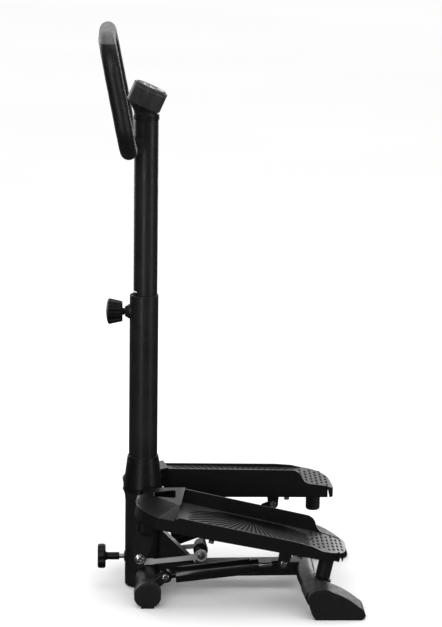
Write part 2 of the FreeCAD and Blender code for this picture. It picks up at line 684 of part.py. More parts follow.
def console_neck():
    """Socket on the sliding tube's mouth, with a waist, that widens to the tilted housing."""
    x, band, plug = MAST_X, 11, 20

    def section(centre_x, z, radius, tilt_deg):
        tilt = math.radians(tilt_deg)
        normal = V(math.sin(tilt), 0, math.cos(tilt))
        return Part.Wire([Part.Circle(V(centre_x, 0, z), normal, radius).toShape()])

    base_x, base_z = CONSOLE_BASE
    neck = Part.makeLoft([section(x, INNER_TOP + band, INNER_R + 0.6, 0),
                          section(x - 2, INNER_TOP + band + 5.5, INNER_R + 0.8, CONSOLE_TILT * 0.4),
                          section(base_x, base_z, CONSOLE_R - 4, CONSOLE_TILT)], True, True)
    neck = neck.fuse(rod((x, 0, INNER_TOP), Z_AXIS, INNER_R + 0.6, band))
    return neck.fuse(rod((x, 0, INNER_TOP - plug), Z_AXIS, INNER_R - INNER_WALL, plug)).removeSplitter()


# ---- pedals, drawn raised on the +Y side ---------------------------------------------------------------
TOE_TIP = -43.0         # foremost point of the toe box
TOE_HOOD_Z = 206.0      # lower edge of its hood
SCREW_SHANK_R = 2.5
SCREW_SPOTS = ((120, TREAD_OUT - 10, 179), (306, TREAD_OUT - 12, 184),
               (120, PAN_IN + 9.5, PAN_TOP), (309, PAN_IN + 9.5, PAN_TOP))


def tread_plan(z, inset=0.0):
    """Outline of the tread: straight front and sides, one large rounded corner outside at the rear."""
    inner, outer, rear = TREAD_IN + inset, TREAD_OUT - inset, TREAD_REAR - inset
    front = TREAD_FRONT - 18
    return curve_xy([[(front, inner), (rear - 10, inner)],
                     [(rear - 10, inner), (rear - 2.5, inner + 3.5), (rear, inner + 12)],
                     [(rear, inner + 12), (rear - 0.6, 84), (rear - 4, 112)],
                     [(rear - 4, 112), (rear - 18, 155 - inset), (rear - 56, outer)],
                     [(rear - 56, outer), (front, outer)],
                     [(front, outer), (front, inner)]], z)


def tread_height(x):
    """Height of the tread's top, which falls slightly to the rear."""
    return TREAD_Z - 6 * (x - TREAD_FRONT) / (360 - TREAD_FRONT)


def tread_shell():
    """Tread plate with a skirt all round and a lip that hangs lower at the rear."""
    def band(drop, floor_z):
        top = TREAD_Z - drop
        lower = [(30, floor_z), (384, floor_z + 7), (388, floor_z + 17), (396, floor_z + 17),
                 (400, floor_z - 3), (420, floor_z - 3)]
        upper = [(420, top - 18), (402, top - 12), (380, top - 8), (360, top - 6), (TREAD_FRONT, top), (30, top)]
        return plate_xz(lower + upper, 0, 300)

    outer = Part.Face(tread_plan(150)).extrude(V(0, 0, 100)).common(band(0, 181))
    inner = Part.Face(tread_plan(100, WALL)).extrude(V(0, 0, 150)).common(band(WALL, 120))
    return outer.cut(inner)


def inner_wall():
    """Raised wall beside the post that drops to the tread in an S at the rear."""
    outline = curve_xz([[(48, PAN_BOTTOM), (48, WALL_TOP + 1)],
                        [(48, WALL_TOP + 1), (318, WALL_TOP - 2)],
                        [(318, WALL_TOP - 2), (331, 234), (340, 223)],
                        [(340, 223), (349, 211.5), (364, 207)],
                        [(364, 207), (TREAD_REAR - 12, 203)],
                        [(TREAD_REAR - 12, 203), (TREAD_REAR - 12, PAN_BOTTOM)],
                        [(TREAD_REAR - 12, PAN_BOTTOM), (48, PAN_BOTTOM)]], TREAD_IN)
    return Part.Face(outline).extrude(V(0, WALL, 0))


def outer_rim():
    """Low bead along the tread's outer edge."""
    outline = [(42, -12), (348, -12), (348, -5), (326, 0), (290, 2.5), (42, 3.5)]
    return plate_xz([(x, TREAD_Z + rise) for x, rise in outline], TREAD_OUT - WALL, TREAD_OUT)


def toe_top(x, y, drop=0.0):
    """Height of the toe box's top, which rises to the rear and falls to the outside."""
    return 224 + (x + 33) * 0.225 - (y - TREAD_IN) * 0.09 - drop


def toe_foot_plan(inset=0.0):
    """Widest outline of the toe box, its rounded nose swept back to the outside."""
    inner, outer, tip, back = TREAD_IN + inset, TREAD_OUT - inset, TOE_TIP + inset, TREAD_FRONT - inset
    return [[(back, inner), (tip + 26, inner)],
            [(tip + 26, inner), (tip + 7, inner + 9), (tip, inner + 32)],
            [(tip, inner + 32), (tip + 9, inner + 95), (tip + 42, outer)],
            [(tip + 42, outer), (back - 14, outer)],
            [(back - 14, outer), (back, inner)]]


def toe_top_plan(inset=0.0):
    """Outline of the toe box's top: its outer edge runs slantwise from the nose to the rear."""
    inner, outer, tip, back = TREAD_IN + inset, 145 - inset, TOE_TIP + 3 + inset, TREAD_FRONT - inset
    return [[(back, inner), (tip + 24, inner)],
            [(tip + 24, inner), (tip + 6, inner + 7), (tip, inner + 22)],
            [(tip, inner + 22), (-6, 98 - inset), (back - 16, outer)],
            [(back - 16, outer), (back - 10, outer)],
            [(back - 10, outer), (back, inner)]]


def toe_hood(foot, top, drop):
    """Solid with sloping shoulders, from its level foot to its sloping top."""
    return Part.makeLoft([curve_xy(foot, TOE_HOOD_Z), wire(top, lambda x, y: V(x, y, toe_top(x, y, drop)))],
                         True, True)


def toe_skirt(inset, floor_z):
    return Part.Face(curve_xy(toe_foot_plan(inset), floor_z)).extrude(V(0, 0, TOE_HOOD_Z + 1 - floor_z))


def toe_column(inset):
    """Rounded casing beside the hinge arm, leaning forward up to the nose."""
    def plan(z, front, extra):
        gap = inset + extra
        x0, x1, y0, y1 = front + gap, 4 - gap, PAN_IN + gap, 92 - gap
        corner = 14 - gap
        bulge = corner * (1 - math.sqrt(0.5))
        return curve_xy([[(x1, y0), (x0 + corner, y0)],
                         [(x0 + corner, y0), (x0 + bulge, y0 + bulge), (x0, y0 + corner)],
                         [(x0, y0 + corner), (x0, y1 - corner)],
                         [(x0, y1 - corner), (x0 + bulge, y1 - bulge), (x0 + corner, y1)],
                         [(x0 + corner, y1), (x1, y1)],
                         [(x1, y1), (x1, y0)]], z)

    sections = [plan(134 + inset, -25, 5), plan(141 + inset, -28, 0), plan(TOE_HOOD_Z, TOE_TIP + 4, 0)]
    return Part.makeLoft(sections, True, True)


def toe_box():
    """Hollow toe box, open underneath, with a hand hole and a small recess in its top."""
    step = 2.5
    deep = WALL + step
    floor_z = 181
    shell = toe_hood(toe_foot_plan(), toe_top_plan(), 0).fuse(toe_skirt(step, floor_z)).fuse(toe_column(0))
    hollow = toe_hood(chords(toe_foot_plan(deep)), chords(toe_top_plan(deep)), WALL)
    shell = shell.cut(hollow).cut(toe_skirt(deep, floor_z)).cut(toe_column(3))
    hand_hole = Part.Face(curve_xy([[(-9, 72), (-9, 96)], [(-9, 96), (34, 108)], [(34, 108), (34, 62)],
                                    [(34, 62), (-9, 72)]], TOE_HOOD_Z + 1)).extrude(V(0, 0, 60))
    hand_hole = hand_hole.makeFillet(5, [edge for edge in hand_hole.Edges if edge.Length > 59 and
                                         edge.BoundBox.ZLength > 59])
    return shell.cut(hand_hole).cut(block(-38, -30, 60, 78, 212, 240))


def footplate():
    """Moulded footplate: tread, walls, toe box, ribs onto the pan and a gap for the pan's front tab."""
    plate = tread_shell().fuse(inner_wall()).fuse(outer_rim()).fuse(toe_box())
    within = Part.Face(tread_plan(150)).extrude(V(0, 0, 206 - 150))
    for x in (92, 156, 220, 284, 340):
        rib = block(x, x + 3, TREAD_IN + 3, TREAD_OUT - 3, PAN_TOP, TREAD_Z - 5)
        plate = plate.fuse(rib.common(within))
    plate = plate.cut(block(-46, 46.5, TREAD_IN - 5, PAN_IN, 120, PAN_TOP + 0.5))
    plate = plate.cut(block(4.5, PAN_REAR + 0.5, PAN_IN - 0.5, PAN_OUT + 0.5, 150, PAN_TOP))
    for x, y, seat_z in SCREW_SPOTS:
        boss_top = tread_height(x) - WALL + 1
        plate = plate.fuse(rod((x, y, seat_z), Z_AXIS, 6, boss_top - seat_z))
        plate = plate.cut(rod((x, y, seat_z), Z_AXIS, SCREW_SHANK_R, 12))
    return plate.removeSplitter()


def footplate_screws():
    """Screws under the footplate: two into the outer bosses, two with spacers through the pan."""
    screws = []
    for x, y, seat_z in SCREW_SPOTS:
        head_z = PAN_BOTTOM - 9 if y < PAN_OUT else seat_z - 5
        screw = rod((x, y, head_z), Z_AXIS, 5.5, 4).fuse(rod((x, y, head_z), Z_AXIS, SCREW_SHANK_R,
                                                            seat_z + 10 - head_z))
        spacer_top = seat_z - PAN_STEEL if y < PAN_OUT else seat_z
        screws.append(screw.fuse(rod((x, y, head_z), Z_AXIS, 4, spacer_top - head_z)).removeSplitter())
    return screws


def pedal_pan():
    """Steel pan under the tread and the hinge arm, welded into one."""
    pan = block(8, PAN_REAR, PAN_IN, PAN_OUT, PAN_BOTTOM, PAN_TOP)
    pan = pan.cut(block(8 + PAN_STEEL, PAN_REAR - PAN_STEEL, PAN_IN + PAN_STEEL, PAN_OUT - PAN_STEEL,
                        PAN_BOTTOM, PAN_TOP - PAN_STEEL))
    tab = block(5, 46, ARM_IN, PAN_IN, PAN_TOP - PAN_STEEL, PAN_TOP)
    arm_outline = curve_xz([[(HINGE_X - EYE_R, HINGE_Z), (-25, 118)],
                            [(-25, 118), (-30, 146), (-38, 176)],
                            [(-38, 176), (-40, PAN_TOP)],
                            [(-40, PAN_TOP), (46, PAN_TOP)],
                            [(46, PAN_TOP), (46, 186)],
                            [(46, 186), (20, 177), (10, 152)],
                            [(10, 152), (13, 126), (11, 96)],
                            [(11, 96), (HINGE_X + EYE_R, HINGE_Z)],
                            [(HINGE_X + EYE_R, HINGE_Z), (HINGE_X, HINGE_Z - EYE_R),
                             (HINGE_X - EYE_R, HINGE_Z)]], ARM_IN)
    arm = Part.Face(arm_outline).extrude(V(0, ARM_OUT - ARM_IN, 0))
    pan = pan.fuse(tab).fuse(arm)
    lug_x, lug_z = ROPE_LUG
    lug = rod((lug_x, ARM_IN + 2, lug_z), Y_AXIS, 6, PAN_IN + 1 - ARM_IN)
    pan = pan.fuse(lug).fuse(block(lug_x - 6, lug_x + 6, PAN_IN, PAN_IN + PAN_STEEL, lug_z, PAN_BOTTOM + 6))
    pan = pan.cut(rod((HINGE_X, 0, HINGE_Z), Y_AXIS, PIVOT_R + 2.5, 100))
    for x, y, seat_z in SCREW_SPOTS:
        pan = pan.cut(rod((x, y, 100), Z_AXIS, SCREW_SHANK_R, 100))
    return pan.removeSplitter()


def hinge_bush():
    return ring((HINGE_X, ARM_IN, HINGE_Z), Y_AXIS, PIVOT_R + 2.5, PIVOT_R + FIT, ARM_OUT - ARM_IN)


def bumper():
    """Rubber buffer under the pan that lands on the rear stop."""
    top = PAN_TOP - PAN_STEEL
    profile = [(0, BUMPER_BOTTOM), (BUMPER_R - 2, BUMPER_BOTTOM),
               (BUMPER_R, BUMPER_BOTTOM + 3), (BUMPER_R, 176),
               (BUMPER_R + 2, 178), (BUMPER_R + 2, top), (0, top)]
    return revolve(profile, (BUMPER_X, DAMPER_Y, 0), Z_AXIS).removeSplitter()


def rod_bracket():
    """Two folded ears under the pan that hold the damper's upper pin."""
    x, z = DAMPER_TOP
    top = PAN_TOP - PAN_STEEL
    ears = []
    for y in (DAMPER_Y - 9.5, DAMPER_Y + 6.5):
        ear = plate_xz([(x - 11, z), (x - 14, top), (x + 14, top), (x + 11, z)], y, y + 3)
        ears.append(ear.fuse(rod((x, y, z), Y_AXIS, 11, 3)))
    web = block(x - 14, x + 14, DAMPER_Y - 9.5, DAMPER_Y + 9.5, top - 3, top)
    bracket = ears[0].fuse(ears[1]).fuse(web)
    return bracket.cut(rod((x, 0, z), Y_AXIS, DAMPER_PIN_R, 300)).removeSplitter()


def rod_pin():
    x, z = DAMPER_TOP
    return pin_with_head(x, z, DAMPER_Y - 9.5, DAMPER_Y + 9.5, DAMPER_PIN_R, 7.5)


# ---- dampers -----------------------------------------------------------------------------------------
def damper_frame(end):
    """Length and slope of a damper whose upper pin is at end."""
    dx, dz = end[0] - DAMPER_BOTTOM[0], end[1] - DAMPER_BOTTOM[1]
    return math.hypot(dx, dz), math.degrees(math.atan2(dz, dx))


def place_damper(shape, slope):
    """Move a shape drawn along +X from the lower pin to the damper's plane."""
    placed = shape.copy()
    placed.rotate(V(0, 0, 0), Y_AXIS, -slope)
    placed.translate(V(DAMPER_BOTTOM[0], DAMPER_Y, DAMPER_BOTTOM[1]))
    return placed


def damper_tube():
    """Damper cylinder with its gland; the lower eye is welded to its closed end."""
    tube = rod((26, 0, 0), X_AXIS, DAMPER_R, 160)
    gland = rod((184, 0, 0), X_AXIS, DAMPER_R + 1.6, 12)
    eye = rod((0, -7, 0), Y_AXIS, 13.5, 14).fuse(rod((5, 0, 0), X_AXIS, 6.8, 21))
    tube = tube.fuse(gland).fuse(eye).cut(rod((34, 0, 0), X_AXIS, DAMPER_R - 2.2, 150))
    tube = tube.cut(rod((0, -10, 0), Y_AXIS, DAMPER_PIN_R + FIT, 20))
    return tube.cut(rod((180, 0, 0), X_AXIS, ROD_R + FIT, 30)).removeSplitter()


def piston_rod(length):
    """Rod with its piston; it ends inside the rod eye."""
    piston = rod((length - 100, 0, 0), X_AXIS, DAMPER_R - 2.2 - FIT, 10)
    return piston.fuse(rod((length - 100, 0, 0), X_AXIS, ROD_R, 84)).removeSplitter()


def rod_eye(length):
    """Upper eye, with play on its pin because the linkage is opened there."""
    eye = rod((length, -6, 0), Y_AXIS, 10.8, 12).fuse(rod((length - 24, 0, 0), X_AXIS, 6.2, 18))
    eye = eye.cut(rod((length, -10, 0), Y_AXIS, DAMPER_PIN_R + ROD_PIN_PLAY, 20))
    return eye.cut(rod((length - 26, 0, 0), X_AXIS, ROD_R, 10)).removeSplitter()


# ---- rope ----------------------------------------------------------------------------------------------
def rope_start(sign):
    """Where the rope leaves a guide wheel's groove."""
    leave = math.radians(ROPE_LEAVE_DEG)
    return V(WHEEL_X + ROPE_LINE_R * math.cos(leave), sign * ROPE_Y, WHEEL_Z + ROPE_LINE_R * math.sin(leave))


def rope_through():
    """Rope held in the frame: down behind each guide groove, forward, and round the tension pulley."""
    y, r = ROPE_Y, ROPE_LINE_R
    low_z = WHEEL_Z - r
    middle = math.radians((ROPE_LEAVE_DEG - 90) / 2)

    def side(sign):
        start = rope_start(sign)
        on_arc = V(WHEEL_X + r * math.cos(middle), sign * y, WHEEL_Z + r * math.sin(middle))
        return [Part.Arc(start, on_arc, V(WHEEL_X, sign * y, low_z)).toShape(),
                Part.LineSegment(V(WHEEL_X, sign * y, low_z), V(YOKE_X, sign * y, low_z)).toShape()]

    turn = Part.Arc(V(YOKE_X, y, low_z), V(YOKE_X - y, 0, low_z), V(YOKE_X, -y, low_z)).toShape()
    path = Part.Wire(Part.__sortEdges__(side(1) + [turn] + side(-1)))
    leave = math.radians(ROPE_LEAVE_DEG)
    direction = V(-math.sin(leave), 0, math.cos(leave))
    circle = Part.Wire([Part.Circle(rope_start(1), direction, ROPE_R).toShape()])
    return path.makePipeShell([circle], True, False)


def rope_strand(lug_x, lug_y, lug_z):
    """Straight strand from a guide groove up to a pedal's lug."""
    start = rope_start(math.copysign(1, lug_y))
    run = V(lug_x, lug_y, lug_z) - start
    length = run.Length
    run.normalize()
    return Part.makeCylinder(ROPE_R, length - 9, start + run * 2, run)


# ---- write the parts -----------------------------------------------------------------------------------
def write_base():
    save("base_post", base_post())
    save("base_plug", base_plug())
    save("front_stabilizer", *front_stabilizer())
    save("front_caps", *front_caps())
    save("damper_brackets", *damper_brackets())
    save("damper_pins", *damper_pins())
    save("pivot_bolts", *pivot_bolts())
    save("rear_stabilizer", rear_stabilizer())
    save("rear_feet", *rear_feet())
    save("centre_beam", centre_beam())
    save("gusset", gusset())
    save("pulley_stays", *pulley_stays())
    save("pulley_axle", pulley_axle())
    save("right_guide_wheel", guide_wheel())
    save("left_guide_wheel", mirrored(guide_wheel()))
    save("tension_yoke", tension_yoke())
    save("tension_pulley", tension_pulley())
    save("tension_screw", tension_screw())
    save("tension_knob", tension_knob())


def write_mast():
    save("outer_tube", outer_tube())
    save("post_collar", post_collar())
    save("collar_screws", *collar_screws())
    save("tube_bushing", tube_bushing())
    save("height_spindle", height_spindle())
    save("height_knob", height_knob())
    save("inner_tube", inner_tube())
    save("handle_saddle", handle_saddle())
    save("handle_bolts", *handle_bolts())
    save("handlebar_tube", handlebar_tube())
    save("foam_grip", grip_solid().cut(grey_zone()))
    save("top_grip", grip_solid().common(grey_zone()))


def write_console():
    save("console_neck", console_neck())
    save("console_housing", console_housing())
    save("console_bezel", console_bezel())
    save("console_display", console_display())
    save("console_works", console_works())
    save("console_button", console_button())


def write_pedals():
    pieces = {"footplate": [footplate()], "pedal_pan": [pedal_pan()], "hinge_bush": [hinge_bush()],
              "bumper": [bumper()], "rod_bracket": [rod_bracket()], "rod_pin": [rod_pin()],
              "footplate_screws": footplate_screws()}
    for name, shapes in pieces.items():
        save(f"right_{name}", *shapes)
        save(f"left_{name}", *[lowered(mirrored(shape)) for shape in shapes])


def write_dampers():
    for side, end in (("right", DAMPER_TOP), ("left", lowered_point(*DAMPER_TOP))):
        length, slope = damper_frame(end)
        pieces = {"damper_tube": damper_tube(), "piston_rod": piston_rod(length), "rod_eye": rod_eye(length)}
        for name, shape in pieces.items():
            placed = place_damper(shape, slope)
            save(f"{side}_{name}", placed if side == "right" else mirrored(placed))


def write_rope():
    save("rope_loop", rope_through())
    lug_y = ARM_IN + 4
    raised_x, raised_z = ROPE_LUG
    lowered_x, lowered_z = lowered_point(*ROPE_LUG)
    save("right_rope", rope_strand(raised_x, lug_y, raised_z))
    save("left_rope", rope_strand(lowered_x, -lug_y, lowered_z))


write_base()
write_mast()
write_console()
write_pedals()
write_dampers()
write_rope()
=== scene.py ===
"""Looks of the mini stepper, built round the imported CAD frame.

Places are given in millimetres from the post's axis (X to the rear, Y to the user's right, Z up) and turned into
the frame's metres by at(). The pedal pieces are drawn on the raised right pedal; the left ones are their mirror
images, turned down to the stop.
"""

import json
import math

import bmesh
import bpy
from mathutils import Matrix, Vector


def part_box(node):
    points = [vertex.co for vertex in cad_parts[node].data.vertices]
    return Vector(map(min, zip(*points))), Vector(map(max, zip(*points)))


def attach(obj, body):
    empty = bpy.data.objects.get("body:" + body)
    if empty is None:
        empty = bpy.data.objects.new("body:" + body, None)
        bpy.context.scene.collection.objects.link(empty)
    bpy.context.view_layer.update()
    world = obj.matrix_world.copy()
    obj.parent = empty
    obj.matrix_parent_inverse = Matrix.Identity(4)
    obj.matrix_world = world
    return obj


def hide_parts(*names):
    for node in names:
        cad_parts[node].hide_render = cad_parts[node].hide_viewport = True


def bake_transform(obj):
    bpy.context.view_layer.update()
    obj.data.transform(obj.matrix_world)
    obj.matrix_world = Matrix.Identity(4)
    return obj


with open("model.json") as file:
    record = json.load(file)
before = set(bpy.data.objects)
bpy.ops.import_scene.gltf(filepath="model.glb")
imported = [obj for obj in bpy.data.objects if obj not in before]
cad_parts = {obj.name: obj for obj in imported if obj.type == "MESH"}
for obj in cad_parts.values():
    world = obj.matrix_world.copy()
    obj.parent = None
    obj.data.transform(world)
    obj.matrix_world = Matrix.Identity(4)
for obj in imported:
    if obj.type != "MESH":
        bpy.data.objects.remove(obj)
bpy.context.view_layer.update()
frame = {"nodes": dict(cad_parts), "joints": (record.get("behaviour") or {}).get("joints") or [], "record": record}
NODES = frame["nodes"]
JOINTS = {joint["name"]: joint for joint in frame["joints"]}

MM = 0.001
X_AXIS = Vector((1, 0, 0))
Y_AXIS = Vector((0, 1, 0))
Z_AXIS = Vector((0, 0, 1))


def node_middle(name):
    low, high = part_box(name)
    return (low + high) / 2


# ---- places, from the frame ----------------------------------------------------------------------------
MAST_X = 1.5                # the sliding tube's axis stands this far behind the post's
POST_X = node_middle("inner_tube").x - MAST_X * MM
HINGE = Vector(JOINTS["left_pedal_hinge"]["pos_m"])
SWING = math.radians(JOINTS["left_pedal_hinge"]["range_deg"][1])
LOWER = Matrix.Translation(HINGE) @ Matrix.Rotation(SWING, 4, "Y") @ Matrix.Translation(-HINGE)
SIDES = {"right": Matrix.Identity(4), "left": LOWER @ Matrix.Scale(-1, 4, Y_AXIS)}

POST_R = 38.0
HANDLE_TUBE_R = 11.0
HANDLE_CORNER = 62.0
GRIP_R = 17.5
GRIP_GAP_HALF = 34.0
GREY_FROM_Z = 1.164


def at(x, y, z):
    """Point in the frame, in metres, from millimetres off the post's axis, the centre plane and the floor."""
    return Vector((POST_X + x * MM, y * MM, z * MM))


# ---- materials -----------------------------------------------------------------------------------------
class Surface:
    """A Principled material with helpers for its procedural detail."""

    def __init__(self, name, roughness, metallic=0.0):
        self.material = bpy.data.materials.new(name)
        self.material.use_nodes = True
        self.tree = self.material.node_tree
        self.tree.nodes.clear()
        output = self.tree.nodes.new("ShaderNodeOutputMaterial")
        self.shader = self.tree.nodes.new("ShaderNodeBsdfPrincipled")
        self.shader.inputs["Roughness"].default_value = roughness
        self.shader.inputs["Metallic"].default_value = metallic
        self.link(self.shader.outputs[0], output.inputs[0])
        coordinates = self.tree.nodes.new("ShaderNodeTexCoord")
        self.place = coordinates.outputs["Object"]

    def link(self, source, target):
        self.tree.links.new(source, target)

    def noise(self, scale, detail=3.0, stretch=(1, 1, 1)):
        """Noise with features about 1 / scale metres wide, stretched along chosen axes."""
        mapping = self.tree.nodes.new("ShaderNodeMapping")
        mapping.inputs["Scale"].default_value = stretch
        self.link(self.place, mapping.inputs["Vector"])
        noise = self.tree.nodes.new("ShaderNodeTexNoise")
        noise.inputs["Scale"].default_value = scale
        noise.inputs["Detail"].default_value = detail
        self.link(mapping.outputs[0], noise.inputs["Vector"])
        return noise.outputs[0]

    def cells(self, scale):
        voronoi = self.tree.nodes.new("ShaderNodeTexVoronoi")
        voronoi.inputs["Scale"].default_value = scale
        self.link(self.place, voronoi.inputs["Vector"])
        return voronoi.outputs["Distance"]

    def between(self, value, low, high, start=0.3, end=0.7):
        remap = self.tree.nodes.new("ShaderNodeMapRange")
        for socket, number in zip(remap.inputs[1:5], (start, end, low, high)):
            socket.default_value = number
        self.link(value, remap.inputs[0])
        return remap.outputs[0]

    def colour(self, value, dark, light, start=0.35, end=0.65):
        ramp = self.tree.nodes.new("ShaderNodeValToRGB")
        for stop, position, shade in zip(ramp.color_ramp.elements, (start, end), (dark, light)):
            stop.position = position
            stop.color = (*shade, 1)
        self.link(value, ramp.inputs[0])
        self.link(ramp.outputs[0], self.shader.inputs["Base Color"])

    def roughness(self, value, low, high):
        self.link(self.between(value, low, high), self.shader.inputs["Roughness"])

    def relief(self, heights, edge_radius=0.0):
        """Stack bumps from (height, depth in metres, strength) on softened edges."""
        normal = None
        if edge_radius:
            bevel = self.tree.nodes.new("ShaderNodeBevel")
            bevel.samples = 4
            bevel.inputs["Radius"].default_value = edge_radius
            normal = bevel.outputs[0]
        for height, depth, strength in heights:
            bump = self.tree.nodes.new("ShaderNodeBump")
            bump.inputs["Distance"].default_value = depth
            bump.inputs["Strength"].default_value = strength
            self.link(height, bump.inputs["Height"])
            if normal:
                self.link(normal, bump.inputs["Normal"])
            normal = bump.outputs[0]
        self.link(normal, self.shader.inputs["Normal"])


def grey(value, warmth=0.0):
    return (value * (1 + warmth), value, value * (1 - warmth))


def painted(name, shade, roughness, edge_radius=0.0008):
    """Powder-coated steel: fine orange peel and slight mottling."""
    surface = Surface(name, roughness)
    surface.colour(surface.noise(18, 4), grey(shade * 0.8), grey(shade * 1.25))
    surface.roughness(surface.noise(60, 5), roughness * 0.82, roughness * 1.2)
    surface.shader.inputs["Specular IOR Level"].default_value = 0.5
    surface.relief([(surface.noise(700, 2), 0.00012, 0.35), (surface.noise(2600, 2), 0.00004, 0.4)], edge_radius)
    return surface.material


def moulded(name, shade, roughness, texture_scale=2200, edge_radius=0.0006, gloss=0.5):
    """Moulded plastic with a spark-eroded grain and soft scuffs."""
    surface = Surface(name, roughness)
    surface.shader.inputs["Specular IOR Level"].default_value = gloss
    surface.colour(surface.noise(35, 6), grey(shade * 0.82), grey(shade * 1.2))
    surface.roughness(surface.noise(120, 4), roughness * 0.85, roughness * 1.15)
    surface.relief([(surface.cells(texture_scale), 0.00006, 0.5), (surface.noise(5, 2), 0.0006, 0.2)], edge_radius)
    return surface.material


def tread_skin(name, front_x):
    """Footplate plastic: black walls and toe box, the tread's up-facing faces painted lighter as a sheen from the
    light above, blotched like wear from shoes, over a spark-eroded grain.
    """
    surface = Surface(name, 0.34)
    nodes = surface.tree.nodes

    def axis_of(source, axis):
        axes = nodes.new("ShaderNodeSeparateXYZ")
        surface.link(source, axes.inputs[0])
        return axes.outputs[axis]

    def product(first, second):
        maths = nodes.new("ShaderNodeMath")
        maths.operation = "MULTIPLY"
        surface.link(first, maths.inputs[0])
        surface.link(second, maths.inputs[1])
        return maths.outputs[0]

    upward = surface.between(axis_of(nodes.new("ShaderNodeNewGeometry").outputs["Normal"], "Z"), 0.0, 1.0, 0.8, 0.97)
    behind_toes = surface.between(axis_of(surface.place, "X"), 0.0, 1.0, front_x - 0.004, front_x + 0.004)
    blotches = surface.between(surface.noise(45, 6), 0.7, 1.0)
    # painted sheen: the up-facing tread behind the toes is made lighter, in wear-like blotches
    sheen_and_wear = product(product(upward, behind_toes), blotches)
    surface.colour(sheen_and_wear, grey(0.0035), grey(0.05), 0.0, 1.0)
    surface.roughness(surface.noise(120, 4), 0.29, 0.39)
    surface.relief([(surface.cells(1500), 0.00006, 0.5), (surface.noise(5, 2), 0.0006, 0.2)], 0.0012)
    return surface.material


def rubbery(name, shade):
    """Rubber: matte, faintly blotched, with a fine moulded grain."""
    surface = Surface(name, 0.5)
    surface.colour(surface.noise(25, 6), grey(shade * 0.8), grey(shade * 1.3, 0.02))
    surface.roughness(surface.noise(90, 4), 0.42, 0.58)
    surface.shader.inputs["Sheen Weight"].default_value = 0.05
    surface.relief([(surface.noise(1500, 3), 0.00008, 0.5)], 0.003)
    return surface.material


def foam(name, shade):
    """Foam with a closed skin: small pores, shallow dents and a soft sheen."""
    surface = Surface(name, 0.4)
    surface.colour(surface.noise(140, 5), grey(shade * 0.78), grey(shade * 1.22))
    surface.roughness(surface.noise(70, 3), 0.34, 0.48)
    surface.shader.inputs["Sheen Weight"].default_value = 0.02
    surface.shader.inputs["Specular IOR Level"].default_value = 0.5
    surface.shader.inputs["Sheen Roughness"].default_value = 0.4
    surface.relief([(surface.noise(22, 2), 0.0012, 0.35), (surface.cells(1300), 0.00022, 0.5)])
    return surface.material


def plated(name, shade, roughness, stretch=(1, 1, 1), scale=900):
    """Bright plating over fine turning or drawing marks."""
    surface = Surface(name, roughness, 1.0)
    surface.colour(surface.noise(60, 4), grey(shade * 0.88), grey(shade))
    surface.roughness(surface.noise(scale, 3, stretch), roughness * 0.6, roughness * 1.5)
    surface.relief([(surface.noise(scale, 2, stretch), 0.00003, 0.3)], 0.0003)
    return surface.material


def twisted_steel(name):
    """Bright rope wire, darker between the wires."""
    surface = Surface(name, 0.35, 1.0)
    surface.colour(surface.noise(700, 4), grey(0.22), grey(0.62))
    surface.relief([(surface.noise(3000, 2), 0.00003, 0.5)])
    return surface.material


def clear_window(name):
    surface = Surface(name, 0.06)
    surface.colour(surface.noise(40, 3), (0.30, 0.33, 0.30), (0.36, 0.39, 0.35))
    surface.roughness(surface.noise(200, 4), 0.04, 0.10)
    surface.shader.inputs["Transmission Weight"].default_value = 0.85
    surface.shader.inputs["IOR"].default_value = 1.46
    return surface.material


def circuit(name):
    surface = Surface(name, 0.5)
    surface.colour(surface.cells(260), (0.01, 0.09, 0.03), (0.03, 0.2, 0.07))
    surface.relief([(surface.cells(400), 0.0003, 0.6)])
    return surface.material


BLACK_STEEL = painted("black_steel", 0.006, 0.4)
DAMPER_BLACK = painted("damper_black", 0.004, 0.16)
GREY_STEEL = painted("grey_steel", 0.36, 0.34)
BLACK_PLASTIC = moulded("black_plastic", 0.007, 0.42)
COLLAR_PLASTIC = moulded("collar_plastic", 0.0025, 0.4, gloss=0.35)
TREAD_PLASTIC = {"right": tread_skin("right_tread_plastic", -0.127), "left": tread_skin("left_tread_plastic", -0.1)}
RIB_PLASTIC = moulded("rib_plastic", 0.0015, 0.6, 1500, 0.0, 0.12)
CONSOLE_BLACK = moulded("console_black", 0.02, 0.34)
SEAM_GREY = moulded("seam_grey", 0.09, 0.5)
BUTTON_GREY = moulded("button_grey", 0.55, 0.25)
TICK_WHITE = moulded("tick_white", 0.75, 0.5)
LCD_DARK = moulded("lcd_dark", 0.03, 0.3)
LCD_PALE = moulded("lcd_pale", 0.42, 0.3)
RUBBER = rubbery("black_rubber", 0.0035)
BLACK_FOAM = foam("black_foam", 0.004)
GREY_FOAM = foam("grey_foam", 0.075)
CHROME = plated("chrome", 0.86, 0.12)
ZINC = plated("zinc_steel", 0.62, 0.3, (8, 1, 1))
ROPE_STEEL = twisted_steel("steel_rope")
WINDOW = clear_window("display_glass")
BOARD = circuit("circuit")

SLOT_MATERIALS = {
    "black_steel": BLACK_STEEL, "damper_black": DAMPER_BLACK, "grey_steel": GREY_STEEL,
    "black_plastic": BLACK_PLASTIC, "tread_plastic": TREAD_PLASTIC["right"], "console_black": CONSOLE_BLACK,
    "display_glass": WINDOW, "circuit": BOARD, "button_grey": BUTTON_GREY, "chrome": CHROME, "zinc_steel": ZINC,
    "steel_rope": ROPE_STEEL, "black_rubber": RUBBER, "black_foam": BLACK_FOAM, "grey_foam": GREY_FOAM,
}


def paint_nodes():
    """Give every CAD node the material of its slot."""
    for part in frame["record"]["subparts"]:
        materials = NODES[part["node"]].data.materials
        materials.clear()
        materials.append(SLOT_MATERIALS[part["material_slot"]])
    for name in ("post_collar", "height_knob", "tension_knob", "left_guide_wheel", "right_guide_wheel"):
        NODES[name].data.materials[0] = COLLAR_PLASTIC
    NODES["left_footplate"].data.materials[0] = TREAD_PLASTIC["left"]


